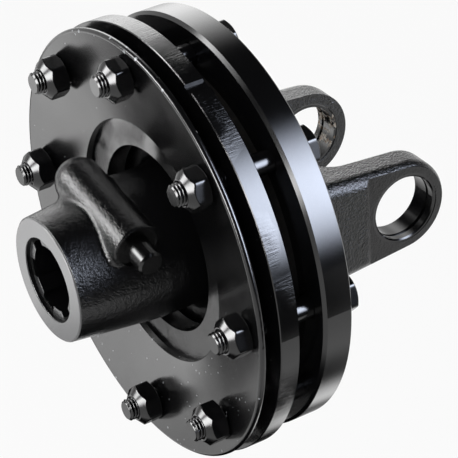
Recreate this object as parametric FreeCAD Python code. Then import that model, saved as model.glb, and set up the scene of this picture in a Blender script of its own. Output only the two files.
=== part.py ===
import FreeCAD, Part
import math
import os

# Friction torque limiter for an agricultural drive shaft. All lengths are millimetres.
# The shaft axis is Y. The origin lies on that axis where the spline's teeth begin, the hub's nose
# points towards -Y and the yoke towards +Y. Angles are in the XZ plane, from +X towards +Z.

# Splined hub: drafted collar, neck, driving flange and the tail that carries the yoke.
COUNTERBORE_RADIUS = 19.26
COUNTERBORE_DEPTH = 2.1
NOSE_RADIUS = 28.16
NOSE_CHAMFER = 0.7
COLLAR_DRAFT = 5.8
COLLAR_LENGTH = 42.0
NECK_FILLET = 5.0
HUB_FLANGE_INSET = 1.0
HUB_FLANGE_THICKNESS = 7.7
TAIL_RADIUS = 30.0
TAIL_LENGTH = 13.7
TAIL_FILLET = 2.0
TAIL_CHAMFER = 1.0

# Six-tooth shaft bore, 1 3/8 inch size.
SPLINE_TEETH = 6
SPLINE_MINOR_RADIUS = 14.85
SPLINE_MAJOR_RADIUS = 17.45
SPLINE_SLOT_WIDTH = 8.7
SPLINE_FIRST_SLOT = 9.0

# Boss for the locking pin, cast crosswise on the collar.
BOSS_Y = 26.5
BOSS_TILT = -11.4
BOSS_OFFSET = 25.5
BOSS_RADIUS = 10.8
BOSS_OPEN_END = 24.5
BOSS_DOME_CENTRE = -23.0
BOSS_FILLET = 3.0
BOSS_RIM_FILLET = 1.0

# Locking pin, its spring and its guide bush. Distances run along the boss, outwards positive.
LAND_RADIUS = 9.0
LAND_LENGTH = 12.0
LAND_FRONT = 4.5
BUTTON_RADIUS = 5.8
BUTTON_PROUD = 12.1
BUTTON_CHAMFER = 1.0
PIN_TRAVEL = 10.5
PIN_END_ROOM = 0.3
PIN_CLEARANCE = 0.05
BUSH_SINK = 0.5
SPRING_POCKET_RADIUS = 6.0
SPRING_POCKET_DEPTH = 10.7
COIL_WIRE_RADIUS = 0.6
COIL_WALL_GAP = 0.5
COIL_TURNS = 7
COIL_END_GAP = 0.05

# Clamped stack, from the nose side to the yoke.
STACK_FRONT = 51.6
PRESSURE_PLATE_THICKNESS = 9.2
PRESSURE_PLATE_MARGIN = 15.55
PRESSURE_PLATE_WIDTH = 55.4
PLATE_EDGE_CHAMFER = 0.35
NOTCH_ANGLE = 67.5
NOTCH_WIDTH = 5.0
NOTCH_DEPTH = 1.5
DISC_THICKNESS = 3.2
DISC_WIDTH = 27.5
DISC_BOLT_GAP = 0.95
RUNNING_FACE_GAP = 0.05

# Dished spring plate. Its inner edge bears on the pressure plate, its rim leans to the nose.
SPRING_INNER_MARGIN = 27.05
SPRING_OUTER_MARGIN = 15.05
SPRING_THICKNESS = 3.1
SPRING_DISH_ANGLE = 8.7
SPRING_RIM_ROUND = 1.45
SPRING_INNER_ROUND = 0.3

# Bolts and all-metal nuts of the clamp.
BOLT_COUNT = 8
BOLT_CIRCLE_RADIUS = 82.45
BOLT_RADIUS = 5.0
BOLT_HOLE_GAP = 0.5
BOLT_LENGTH = 59.7
BOLT_TIP_CHAMFER = 0.8
BOLT_HEAD_HEIGHT = 6.4
HEX_ACROSS_FLATS = 17.0
HEX_CORNER_ANGLE = 46.0
HEX_CORNER_BEVEL = 0.75
NUT_THREAD_GAP = 0.05
NUT_SEAT_GAP = 0.05
NUT_HEIGHT = 9.95
NUT_CONE_HEIGHT = 2.2
NUT_TOP_RADIUS = 6.0

# Yoke: flange, neck and two ears forged as one.
YOKE_FLANGE_MARGIN = 12.55
YOKE_FLANGE_THICKNESS = 13.6
YOKE_FRONT_CHAMFER = 1.4
YOKE_BACK_CHAMFER = 0.5
EAR_CAST_HALF_SPAN = 47.0
EAR_MACHINED_HALF_SPAN = 45.2
EAR_BASE_HALF_WIDTH = 27.6
EAR_END_RADIUS = 21.7
EAR_EDGE_ROUND = 6.0
EAR_RAMP_START = 21.0
EAR_RAMP_LENGTH = 2.5
THROAT_HALF_SPAN = 31.8
THROAT_FLOOR_HEIGHT = 26.5
THROAT_CORNER_RADIUS = 14.0
YOKE_ROOT_FILLET = 5.0
CROSS_BORE_RADIUS = 15.1
CROSS_BORE_HEIGHT = 62.45
CROSS_BORE_CHAMFER = 0.6
RING_GROOVE_DEPTH = 1.0
RING_GROOVE_WIDTH = 1.7
RING_GROOVE_INSET = 3.5

# Bronze bush pressed into the yoke, on which the hub's tail turns.
BUSH_WALL = 2.97
BUSH_LENGTH = 11.0
BUSH_RUNNING_CLEARANCE = 0.03

# Places that follow from the sizes above. The plates keep their margins round the bolt circle.
PRESSURE_PLATE_RADIUS = BOLT_CIRCLE_RADIUS + PRESSURE_PLATE_MARGIN
PRESSURE_PLATE_INNER = PRESSURE_PLATE_RADIUS - PRESSURE_PLATE_WIDTH
SPRING_RADIUS = BOLT_CIRCLE_RADIUS + SPRING_OUTER_MARGIN
SPRING_INNER = BOLT_CIRCLE_RADIUS - SPRING_INNER_MARGIN
YOKE_FLANGE_RADIUS = BOLT_CIRCLE_RADIUS + YOKE_FLANGE_MARGIN
DISC_RADIUS = BOLT_CIRCLE_RADIUS - BOLT_RADIUS - DISC_BOLT_GAP
DISC_INNER = DISC_RADIUS - DISC_WIDTH
HUB_FLANGE_RADIUS = DISC_RADIUS - HUB_FLANGE_INSET
PRESSURE_PLATE_BACK = STACK_FRONT + PRESSURE_PLATE_THICKNESS
FRONT_DISC_BACK = PRESSURE_PLATE_BACK + DISC_THICKNESS
HUB_FLANGE_FRONT = FRONT_DISC_BACK + RUNNING_FACE_GAP
HUB_FLANGE_BACK = HUB_FLANGE_FRONT + HUB_FLANGE_THICKNESS
REAR_DISC_FRONT = HUB_FLANGE_BACK + RUNNING_FACE_GAP
YOKE_FRONT = REAR_DISC_FRONT + DISC_THICKNESS
YOKE_BACK = YOKE_FRONT + YOKE_FLANGE_THICKNESS
CROSS_BORE_Y = YOKE_BACK + CROSS_BORE_HEIGHT
BUSH_RADIUS = TAIL_RADIUS + BUSH_RUNNING_CLEARANCE + BUSH_WALL
HOLE_RADIUS = BOLT_RADIUS + BOLT_HOLE_GAP
HEX_CORNER_RADIUS = HEX_ACROSS_FLATS / math.sqrt(3.0)
DISH_SLOPE = math.tan(math.radians(SPRING_DISH_ANGLE))


def vec(x, y, z):
    """A point or direction in the part's frame."""
    return FreeCAD.Vector(x, y, z)


def turned(points):
    """The solid swept by a closed (radius, y) outline about the shaft axis."""
    wire = Part.makePolygon([vec(r, y, 0) for r, y in points + points[:1]])
    return Part.Face(wire).revolve(vec(0, 0, 0), vec(0, 1, 0), 360)


def cylinder_y(radius, start, end):
    """A cylinder on the shaft axis between two stations."""
    return Part.makeCylinder(radius, end - start, vec(0, start, 0), vec(0, 1, 0))


def spun(shape, degrees):
    """A copy turned about the shaft axis, from +X towards +Z."""
    copy = shape.copy()
    copy.rotate(vec(0, 0, 0), vec(0, -1, 0), degrees)
    return copy


def bolt_angles():
    """The angles of the clamp's bolts."""
    return [360.0 * k / BOLT_COUNT for k in range(BOLT_COUNT)]


def bolt_holes(start, end):
    """The clearance holes of the bolt circle between two stations."""
    hole = cylinder_y(HOLE_RADIUS, start, end)
    hole.translate(vec(BOLT_CIRCLE_RADIUS, 0, 0))
    return Part.makeCompound([spun(hole, angle) for angle in bolt_angles()])


def hexagon(start, end):
    """A hexagonal prism on the shaft axis."""
    turns = [math.radians(HEX_CORNER_ANGLE + 60.0 * k) for k in range(7)]
    corners = [vec(HEX_CORNER_RADIUS * math.cos(t), start, HEX_CORNER_RADIUS * math.sin(t)) for t in turns]
    return Part.Face(Part.makePolygon(corners)).extrude(vec(0, end - start, 0))


def edges_on_circle(shape, radius, station, slack=0.01):
    """The circular edges of one radius at one station on the shaft axis."""
    found = []
    for edge in shape.Edges:
        curve = edge.Curve
        if not isinstance(curve, Part.Circle):
            continue
        if abs(curve.Radius - radius) < slack and abs(curve.Center.y - station) < slack:
            found.append(edge)
    return found


def spline_bore(start, end):
    """The tool that cuts the shaft bore: a round core with straight-sided slots."""
    core = cylinder_y(SPLINE_MINOR_RADIUS, start, end)
    limit = cylinder_y(SPLINE_MAJOR_RADIUS, start, end)
    corner = vec(0, start, -SPLINE_SLOT_WIDTH / 2)
    slot = Part.makeBox(SPLINE_MAJOR_RADIUS + 1, end - start, SPLINE_SLOT_WIDTH, corner)
    slot = slot.common(limit)
    for k in range(SPLINE_TEETH):
        core = core.fuse(spun(slot, SPLINE_FIRST_SLOT + 360.0 * k / SPLINE_TEETH))
    return core.removeSplitter()


def boss_point(along):
    """A point on the axis of the locking-pin boss."""
    tilt = math.radians(BOSS_TILT)
    x = along * math.cos(tilt) - BOSS_OFFSET * math.sin(tilt)
    z = along * math.sin(tilt) + BOSS_OFFSET * math.cos(tilt)
    return vec(x, BOSS_Y, z)


def boss_direction():
    """The outward direction of the locking-pin boss."""
    tilt = math.radians(BOSS_TILT)
    return vec(math.cos(tilt), 0, math.sin(tilt))


def boss_cylinder(radius, start, end):
    """A cylinder on the boss's axis."""
    return Part.makeCylinder(radius, end - start, boss_point(start), boss_direction())


def boss_turned(points):
    """The solid swept by a closed (radius, distance) outline about the boss's axis."""
    wire = Part.makePolygon([vec(r, 0, s) for r, s in points + points[:1]])
    solid = Part.Face(wire).revolve(vec(0, 0, 0), vec(0, 0, 1), 360)
    turn = FreeCAD.Rotation(vec(0, 0, 1), boss_direction())
    solid.Placement = FreeCAD.Placement(boss_point(0), turn)
    return solid


def hub_blank():
    """The hub before its bores: collar, neck, driving flange and tail."""
    nose = -COUNTERBORE_DEPTH
    draft = math.tan(math.radians(COLLAR_DRAFT))
    chamfered = NOSE_RADIUS - NOSE_CHAMFER
    collar_end = nose + COLLAR_LENGTH
    neck = NOSE_RADIUS + draft * (COLLAR_LENGTH - NOSE_CHAMFER)
    tail_end = HUB_FLANGE_BACK + TAIL_LENGTH
    solid = turned([
        (0, nose),
        (chamfered, nose),
        (NOSE_RADIUS, nose + NOSE_CHAMFER),
        (neck, collar_end),
        (neck, HUB_FLANGE_FRONT),
        (HUB_FLANGE_RADIUS, HUB_FLANGE_FRONT),
        (HUB_FLANGE_RADIUS, HUB_FLANGE_BACK),
        (TAIL_RADIUS, HUB_FLANGE_BACK),
        (TAIL_RADIUS, tail_end - TAIL_CHAMFER),
        (TAIL_RADIUS - TAIL_CHAMFER, tail_end),
        (0, tail_end),
    ])
    solid = solid.makeFillet(NECK_FILLET, edges_on_circle(solid, neck, HUB_FLANGE_FRONT))
    return solid.makeFillet(TAIL_FILLET, edges_on_circle(solid, TAIL_RADIUS, HUB_FLANGE_BACK))


def boss_blank():
    """The boss before its bore: a short bar with one domed end."""
    bar = boss_cylinder(BOSS_RADIUS, BOSS_DOME_CENTRE, BOSS_OPEN_END)
    mouth = [e for e in bar.Edges if (e.BoundBox.Center - boss_point(BOSS_OPEN_END)).Length < 0.01]
    bar = bar.makeFillet(BOSS_RIM_FILLET, mouth)
    dome = Part.makeSphere(BOSS_RADIUS, boss_point(BOSS_DOME_CENTRE))
    return bar.fuse(dome).removeSplitter()


def blend_boss(blank, boss):
    """Hub and boss as one casting, with a fillet where the boss leaves the collar."""
    joined = blank.fuse(boss).removeSplitter()
    seams = []
    for edge in joined.Edges:
        if edge.Degenerated:
            continue
        points = edge.discretize(5)
        on_hub = all(blank.distToShape(Part.Vertex(p))[0] < 0.01 for p in points)
        on_boss = all(boss.distToShape(Part.Vertex(p))[0] < 0.01 for p in points)
        if on_hub and on_boss:
            seams.append(edge)
    return joined.makeFillet(BOSS_FILLET, seams)


def pin_bore():
    """The stepped blind bore that holds the locking pin and its spring."""
    wide_end = LAND_FRONT - LAND_LENGTH - PIN_TRAVEL - PIN_END_ROOM
    wide = boss_cylinder(LAND_RADIUS + PIN_CLEARANCE, wide_end, BOSS_OPEN_END + 1)
    pocket = boss_cylinder(SPRING_POCKET_RADIUS, wide_end - SPRING_POCKET_DEPTH, wide_end)
    return wide.fuse(pocket)


def make_hub():
    """Splined hub with its driving flange and locking-pin boss."""
    casting = blend_boss(hub_blank(), boss_blank())
    tail_end = HUB_FLANGE_BACK + TAIL_LENGTH
    casting = casting.cut(spline_bore(-COUNTERBORE_DEPTH - 1, tail_end + 1))
    casting = casting.cut(cylinder_y(COUNTERBORE_RADIUS, -COUNTERBORE_DEPTH - 1, 0))
    return casting.cut(pin_bore())


def make_locking_pin():
    """Push pin: a wide locking land and a slimmer button that stands out of the boss."""
    tip = BOSS_OPEN_END + BUTTON_PROUD
    return boss_turned([
        (0, LAND_FRONT - LAND_LENGTH),
        (LAND_RADIUS, LAND_FRONT - LAND_LENGTH),
        (LAND_RADIUS, LAND_FRONT),
        (BUTTON_RADIUS, LAND_FRONT),
        (BUTTON_RADIUS, tip - BUTTON_CHAMFER),
        (BUTTON_RADIUS - BUTTON_CHAMFER, tip),
        (0, tip),
    ])


def make_pin_bush():
    """Guide bush in the boss's mouth, which also stops the locking pin's land."""
    inner = BUTTON_RADIUS + PIN_CLEARANCE
    outer = LAND_RADIUS + PIN_CLEARANCE
    start = LAND_FRONT + PIN_CLEARANCE
    end = BOSS_OPEN_END - BUSH_SINK
    return boss_turned([(inner, start), (outer, start), (outer, end), (inner, end)])


def make_pin_spring():
    """Coil spring behind the locking pin, bent in half turns that tilt to and fro as they climb."""
    land_back = LAND_FRONT - LAND_LENGTH
    floor = land_back - PIN_TRAVEL - PIN_END_ROOM - SPRING_POCKET_DEPTH
    start = floor + COIL_END_GAP + COIL_WIRE_RADIUS
    height = land_back - COIL_END_GAP - COIL_WIRE_RADIUS - start
    mean = SPRING_POCKET_RADIUS - COIL_WALL_GAP - COIL_WIRE_RADIUS
    climb = height / (2 * COIL_TURNS)
    halves = []
    for k in range(2 * COIL_TURNS):
        side = 1 if k % 2 == 0 else -1
        section = Part.Wire(Part.makeCircle(COIL_WIRE_RADIUS, vec(side * mean, 0, k * climb), vec(0, 1, 0)))
        tilt = vec(side * climb / 2, 0, mean)
        centre = vec(0, 0, (k + 0.5) * climb)
        halves.append(Part.Face(section).revolve(centre, tilt, 180))
    coil = halves[0].multiFuse(halves[1:])
    turn = FreeCAD.Rotation(vec(0, 0, 1), boss_direction())
    coil.Placement = FreeCAD.Placement(boss_point(start), turn)
    return coil


def make_spring_plate():
    """Dished spring plate that the nuts press on, drilled for the bolts."""
    angle = math.radians(SPRING_DISH_ANGLE)
    back_r = SPRING_THICKNESS * math.sin(angle)
    back_y = SPRING_THICKNESS * math.cos(angle)
    front = STACK_FRONT - back_y
    width = SPRING_RADIUS - SPRING_INNER - back_r
    drop = width * DISH_SLOPE
    solid = turned([
        (SPRING_INNER, front),
        (SPRING_INNER + width, front - drop),
        (SPRING_RADIUS, front - drop + back_y),
        (SPRING_INNER + back_r, STACK_FRONT),
    ])
    rim = edges_on_circle(solid, SPRING_INNER + width, front - drop)
    rim += edges_on_circle(solid, SPRING_RADIUS, front - drop + back_y)
    solid = solid.makeFillet(SPRING_RIM_ROUND, rim)
    solid = solid.makeFillet(SPRING_INNER_ROUND, edges_on_circle(solid, SPRING_INNER, front))
    return solid.cut(bolt_holes(front - drop - 5, STACK_FRONT + 5))


def plate_outline(inner, outer, front, back, chamfer):
    """The (radius, y) outline of a flat ring with chamfered outer edges."""
    return [
        (inner, front),
        (outer - chamfer, front),
        (outer, front + chamfer),
        (outer, back - chamfer),
        (outer - chamfer, back),
        (inner, back),
    ]


def make_pressure_plate():
    """Thick ring between the spring plate and the front friction disc, notched in its rim."""
    solid = turned(plate_outline(
        PRESSURE_PLATE_INNER, PRESSURE_PLATE_RADIUS, STACK_FRONT, PRESSURE_PLATE_BACK, PLATE_EDGE_CHAMFER
    ))
    corner = vec(PRESSURE_PLATE_RADIUS - NOTCH_DEPTH, STACK_FRONT - 1, -NOTCH_WIDTH / 2)
    notch = Part.makeBox(NOTCH_DEPTH + 1, PRESSURE_PLATE_THICKNESS + 2, NOTCH_WIDTH, corner)
    solid = solid.cut(spun(notch, NOTCH_ANGLE))
    return solid.cut(bolt_holes(STACK_FRONT - 1, PRESSURE_PLATE_BACK + 1))


def make_friction_disc(front):
    """A flat friction ring inside the bolt circle."""
    back = front + DISC_THICKNESS
    return turned([(DISC_INNER, front), (DISC_RADIUS, front), (DISC_RADIUS, back), (DISC_INNER, back)])


def tangent_point(y, z, radius):
    """Where a line from (y, z) touches a circle about the cross bore's centre."""
    away = math.hypot(y - CROSS_BORE_Y, z)
    bearing = math.atan2(z, y - CROSS_BORE_Y)
    swing = math.acos(radius / away)
    return CROSS_BORE_Y + radius * math.cos(bearing - swing), radius * math.sin(bearing - swing)


def ear_bar():
    """Neck and ears before the throat: the ear's side view, as wide as the casting."""
    root = YOKE_BACK - 1
    touch_y, touch_z = tangent_point(root, EAR_BASE_HALF_WIDTH, EAR_END_RADIUS)
    left = -EAR_CAST_HALF_SPAN
    low_base = vec(left, root, -EAR_BASE_HALF_WIDTH)
    high_base = vec(left, root, EAR_BASE_HALF_WIDTH)
    low_touch = vec(left, touch_y, -touch_z)
    high_touch = vec(left, touch_y, touch_z)
    end = vec(left, CROSS_BORE_Y + EAR_END_RADIUS, 0)
    outline = Part.Wire([
        Part.makeLine(low_base, low_touch),
        Part.Arc(low_touch, end, high_touch).toShape(),
        Part.makeLine(high_touch, high_base),
        Part.makeLine(high_base, low_base),
    ])
    bar = Part.Face(outline).extrude(vec(2 * EAR_CAST_HALF_SPAN, 0, 0))
    sides = [
        e for e in bar.Edges
        if abs(abs(e.BoundBox.Center.x) - EAR_CAST_HALF_SPAN) < 0.01 and e.BoundBox.YMax > root + 1
    ]
    return bar.makeFillet(EAR_EDGE_ROUND, sides)


def throat():
    """The space between the ears, with a rounded floor."""
    floor = YOKE_BACK + THROAT_FLOOR_HEIGHT
    reach = CROSS_BORE_Y + EAR_END_RADIUS + 5
    depth = 2 * EAR_BASE_HALF_WIDTH + 10
    corner = vec(-THROAT_HALF_SPAN, floor, -depth / 2)
    block = Part.makeBox(2 * THROAT_HALF_SPAN, reach - floor, depth, corner)
    floor_edges = [
        e for e in block.Edges
        if abs(e.BoundBox.YMax - floor) < 0.01 and e.BoundBox.ZLength > 1
    ]
    return block.makeFillet(THROAT_CORNER_RADIUS, floor_edges)


def spot_face(side):
    """The cut that machines one ear's outer face, running out in a ramp."""
    start = CROSS_BORE_Y - EAR_RAMP_START
    full = start + EAR_RAMP_LENGTH
    reach = CROSS_BORE_Y + EAR_END_RADIUS + 5
    outside = EAR_CAST_HALF_SPAN + 5
    slope = (EAR_CAST_HALF_SPAN - EAR_MACHINED_HALF_SPAN) / EAR_RAMP_LENGTH
    lead = start - (outside - EAR_CAST_HALF_SPAN) / slope
    depth = EAR_BASE_HALF_WIDTH + 5
    outline = [(EAR_MACHINED_HALF_SPAN, full), (outside, lead), (outside, reach), (EAR_MACHINED_HALF_SPAN, reach)]
    corners = [vec(side * x, y, -depth) for x, y in outline + outline[:1]]
    return Part.Face(Part.makePolygon(corners)).extrude(vec(0, 0, 2 * depth))


def cross_bore():
    """The bore through both ears, with its ring grooves and chamfered mouths."""
    half = EAR_MACHINED_HALF_SPAN
    groove_out = half - RING_GROOVE_INSET
    groove_in = groove_out - RING_GROOVE_WIDTH
    mouth = CROSS_BORE_RADIUS + CROSS_BORE_CHAMFER
    groove = CROSS_BORE_RADIUS + RING_GROOVE_DEPTH
    side = [
        (0, 0),
        (CROSS_BORE_RADIUS, 0),
        (CROSS_BORE_RADIUS, groove_in),
        (groove, groove_in),
        (groove, groove_out),
        (CROSS_BORE_RADIUS, groove_out),
        (CROSS_BORE_RADIUS, half - CROSS_BORE_CHAMFER),
        (mouth, half),
        (mouth, half + 5),
        (0, half + 5),
    ]
    tools = []
    for sign in (1, -1):
        points = [vec(sign * x, CROSS_BORE_Y + r, 0) for r, x in side + side[:1]]
        face = Part.Face(Part.makePolygon(points))
        tools.append(face.revolve(vec(0, CROSS_BORE_Y, 0), vec(1, 0, 0), 360))
    return tools[0].fuse(tools[1])


def make_yoke():
    """Rear flange, neck and ears, one forging."""
    flange = turned([
        (0, YOKE_FRONT),
        (YOKE_FLANGE_RADIUS - YOKE_FRONT_CHAMFER, YOKE_FRONT),
        (YOKE_FLANGE_RADIUS, YOKE_FRONT + YOKE_FRONT_CHAMFER),
        (YOKE_FLANGE_RADIUS, YOKE_BACK - YOKE_BACK_CHAMFER),
        (YOKE_FLANGE_RADIUS - YOKE_BACK_CHAMFER, YOKE_BACK),
        (0, YOKE_BACK),
    ])
    body = flange.fuse(ear_bar().cut(throat())).removeSplitter()
    roots = []
    for edge in body.Edges:
        box = edge.BoundBox
        flat = abs(box.YMin - YOKE_BACK) < 0.01 and abs(box.YMax - YOKE_BACK) < 0.01
        if flat and box.XMax < EAR_CAST_HALF_SPAN + 1 and box.XMin > -EAR_CAST_HALF_SPAN - 1:
            roots.append(edge)
    body = body.makeFillet(YOKE_ROOT_FILLET, roots)
    for side in (1, -1):
        body = body.cut(spot_face(side))
    body = body.cut(cross_bore())
    body = body.cut(cylinder_y(BUSH_RADIUS, YOKE_FRONT - 1, YOKE_FRONT + BUSH_LENGTH))
    return body.cut(bolt_holes(YOKE_FRONT - 1, YOKE_BACK + 1))


def make_centring_bush():
    """Thin bush that centres the hub's tail in the yoke."""
    inner = TAIL_RADIUS + BUSH_RUNNING_CLEARANCE
    end = YOKE_FRONT + BUSH_LENGTH
    return turned([(inner, YOKE_FRONT), (BUSH_RADIUS, YOKE_FRONT), (BUSH_RADIUS, end), (inner, end)])


def placed_fastener(shape, angle):
    """A fastener moved to its place on the bolt circle, with its flats kept parallel."""
    copy = shape.copy()
    turn = math.radians(angle)
    copy.translate(vec(BOLT_CIRCLE_RADIUS * math.cos(turn), 0, BOLT_CIRCLE_RADIUS * math.sin(turn)))
    return copy


def make_bolt():
    """Hexagon bolt on the shaft axis, its head against the yoke's flange."""
    tip = YOKE_BACK - BOLT_LENGTH
    top = YOKE_BACK + BOLT_HEAD_HEIGHT
    blank = turned([
        (0, tip),
        (BOLT_RADIUS - BOLT_TIP_CHAMFER, tip),
        (BOLT_RADIUS, tip + BOLT_TIP_CHAMFER),
        (BOLT_RADIUS, YOKE_BACK),
        (HEX_CORNER_RADIUS, YOKE_BACK),
        (HEX_CORNER_RADIUS, top - HEX_CORNER_BEVEL),
        (HEX_ACROSS_FLATS / 2 - HEX_CORNER_BEVEL, top),
        (0, top),
    ])
    envelope = hexagon(YOKE_BACK, top).fuse(cylinder_y(BOLT_RADIUS, tip, YOKE_BACK))
    return blank.common(envelope).removeSplitter()


def nut_base():
    """The station of the nuts' base, where it just clears the dished plate."""
    reach = BOLT_CIRCLE_RADIUS + HEX_CORNER_RADIUS
    angle = math.radians(SPRING_DISH_ANGLE)
    front = STACK_FRONT - SPRING_THICKNESS * math.cos(angle)
    return front - (reach - SPRING_INNER) * DISH_SLOPE - NUT_SEAT_GAP


def make_nut():
    """All-metal locking nut with a conical top, on the shaft axis."""
    base = nut_base()
    top = base - NUT_HEIGHT
    bore = BOLT_RADIUS + NUT_THREAD_GAP
    cone = (HEX_ACROSS_FLATS / 2 - NUT_TOP_RADIUS) / NUT_CONE_HEIGHT
    shoulder = top + (HEX_CORNER_RADIUS - NUT_TOP_RADIUS) / cone
    blank = turned([
        (bore, base),
        (HEX_CORNER_RADIUS - HEX_CORNER_BEVEL, base),
        (HEX_CORNER_RADIUS, base - HEX_CORNER_BEVEL / 2),
        (HEX_CORNER_RADIUS, shoulder),
        (NUT_TOP_RADIUS, top),
        (bore, top),
    ])
    return blank.common(hexagon(top, base)).removeSplitter()


def export(shape, name):
    """Write one piece to its own file and report its volume."""
    solids = shape.Solids
    if len(solids) != 1 or not shape.isValid():
        raise ValueError(name + " is not one valid solid")
    solids[0].exportStep("parts/" + name + ".step")
    print(name, "volume", round(solids[0].Volume, 1))


def main():
    os.makedirs("parts", exist_ok=True)
    export(make_hub(), "hub")
    export(make_locking_pin(), "locking_pin")
    export(make_pin_bush(), "pin_bush")
    export(make_pin_spring(), "pin_spring")
    export(make_spring_plate(), "spring_plate")
    export(make_pressure_plate(), "pressure_plate")
    export(make_friction_disc(PRESSURE_PLATE_BACK), "friction_disc_front")
    export(make_friction_disc(REAR_DISC_FRONT), "friction_disc_rear")
    export(make_yoke(), "yoke")
    export(make_centring_bush(), "centring_bush")
    bolt = make_bolt()
    nut = make_nut()
    for number, angle in enumerate(bolt_angles(), start=1):
        export(placed_fastener(bolt, angle), "bolt_" + str(number))
        export(placed_fastener(nut, angle), "nut_" + str(number))


main()
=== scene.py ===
"""Looks of a friction torque limiter: black painted castings, plates, bolts and nuts in a pale studio."""

from __future__ import annotations

import logging
import math
from dataclasses import dataclass, field
from enum import Enum

import bmesh
import bpy
import numpy as np
from mathutils import Matrix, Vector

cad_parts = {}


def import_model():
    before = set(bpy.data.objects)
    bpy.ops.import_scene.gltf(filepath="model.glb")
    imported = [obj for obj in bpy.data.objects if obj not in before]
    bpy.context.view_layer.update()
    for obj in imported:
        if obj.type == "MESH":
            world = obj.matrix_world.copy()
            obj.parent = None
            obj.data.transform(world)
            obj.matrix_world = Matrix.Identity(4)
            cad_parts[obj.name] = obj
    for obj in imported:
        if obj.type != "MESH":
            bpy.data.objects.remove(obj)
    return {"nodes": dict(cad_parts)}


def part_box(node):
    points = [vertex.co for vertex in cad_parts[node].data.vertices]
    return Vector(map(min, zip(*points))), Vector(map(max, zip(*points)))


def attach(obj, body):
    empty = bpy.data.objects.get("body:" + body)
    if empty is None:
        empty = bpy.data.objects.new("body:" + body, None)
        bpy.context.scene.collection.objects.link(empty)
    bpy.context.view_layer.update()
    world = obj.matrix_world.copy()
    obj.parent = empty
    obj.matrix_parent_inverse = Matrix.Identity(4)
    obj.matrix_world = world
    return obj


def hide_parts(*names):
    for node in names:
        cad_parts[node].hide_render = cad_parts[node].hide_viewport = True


LOG = logging.getLogger("torque_limiter")
Socket = bpy.types.NodeSocket
Vector3 = tuple[float, float, float]
Range = tuple[float, float]
Rings = list[tuple[float | np.ndarray, float | np.ndarray]]
MM = 0.001

# Places on the part that the finishes go by: lengths in metres, the angle in degrees. The shaft axis is
# Y and the nose is at -Y. A pair says where an effect starts and where it is full.
NOSE_FACE_BAND = (-2.0 * MM, -1.5 * MM)
TEETH_END_RISE = 1.75 * MM
TEETH_END_RADII = (18.9 * MM, 19.1 * MM)
SLOT_MOUTH_RADIUS = 18.9 * MM
SLOT_ANGLE = 9.0
SLOT_COUNT = 6
SLOT_WIDTH = 8.7 * MM
BORE_CENTRE = (0.0, 151.05 * MM, 0.0)
BORE_RADIUS = 15.1 * MM
BORE_GROOVES = (1.1 * MM, 1.8 * MM)
EAR_FLAT = 45.2 * MM
EAR_FLAT_REACH = 0.08 * MM
YOKE_NECK_START = (88.7 * MM, 90.5 * MM)
PLATE_EDGE = (92.5 * MM, 95.5 * MM)
PLATE_UPPER_PART = (50.0 * MM, 85.0 * MM)
PLATE_LOWER_PART = (-10.0 * MM, -60.0 * MM)
WELD_DISTANCE = 1e-7
WHITE = "ffffff"


def linear(hex_colour: str) -> tuple[float, float, float, float]:
    """Turns an sRGB hex colour into the linear values that shaders take.

    Args:
        hex_colour: six hex digits, such as "1a1a1c".

    Returns:
        Linear red, green, blue and an alpha of 1.
    """
    parts = [int(hex_colour[k:k + 2], 16) / 255 for k in (0, 2, 4)]
    red, green, blue = [c / 12.92 if c <= 0.04045 else ((c + 0.055) / 1.055) ** 2.4 for c in parts]
    return red, green, blue, 1.0


class Tree:
    """The node tree of a material or a world, with one way to add a node."""

    def __init__(self, owner: bpy.types.Material | bpy.types.World) -> None:
        """Empties the owner's node tree.

        Args:
            owner: the material or world whose nodes are built.
        """
        owner.use_nodes = True
        self.tree = owner.node_tree
        self.tree.nodes.clear()

    def add(self, kind: str, settings: dict[str, object] | None = None, **inputs: object) -> bpy.types.Node:
        """Adds one node with its settings, socket values and links.

        Args:
            kind: the node's type name.
            settings: attributes of the node itself.
            inputs: socket name or position, with "_" for a space, to a value or to another node's socket.

        Returns:
            The new node.
        """
        node = self.tree.nodes.new(kind)
        for key, value in (settings or {}).items():
            setattr(node, key, value)
        for key, value in inputs.items():
            by_place = key[:1] == "i" and key[1:].isdigit()
            socket = node.inputs[int(key[1:]) if by_place else key.replace("_", " ")]
            if isinstance(value, Socket):
                self.tree.links.new(value, socket)
            else:
                socket.default_value = value
        return node


class Region(Enum):
    """Where a finish changes its skin on one node."""

    EVERYWHERE = "everywhere"
    HUB_COLLAR = "hub collar"
    YOKE_EARS = "yoke ears"


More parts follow.
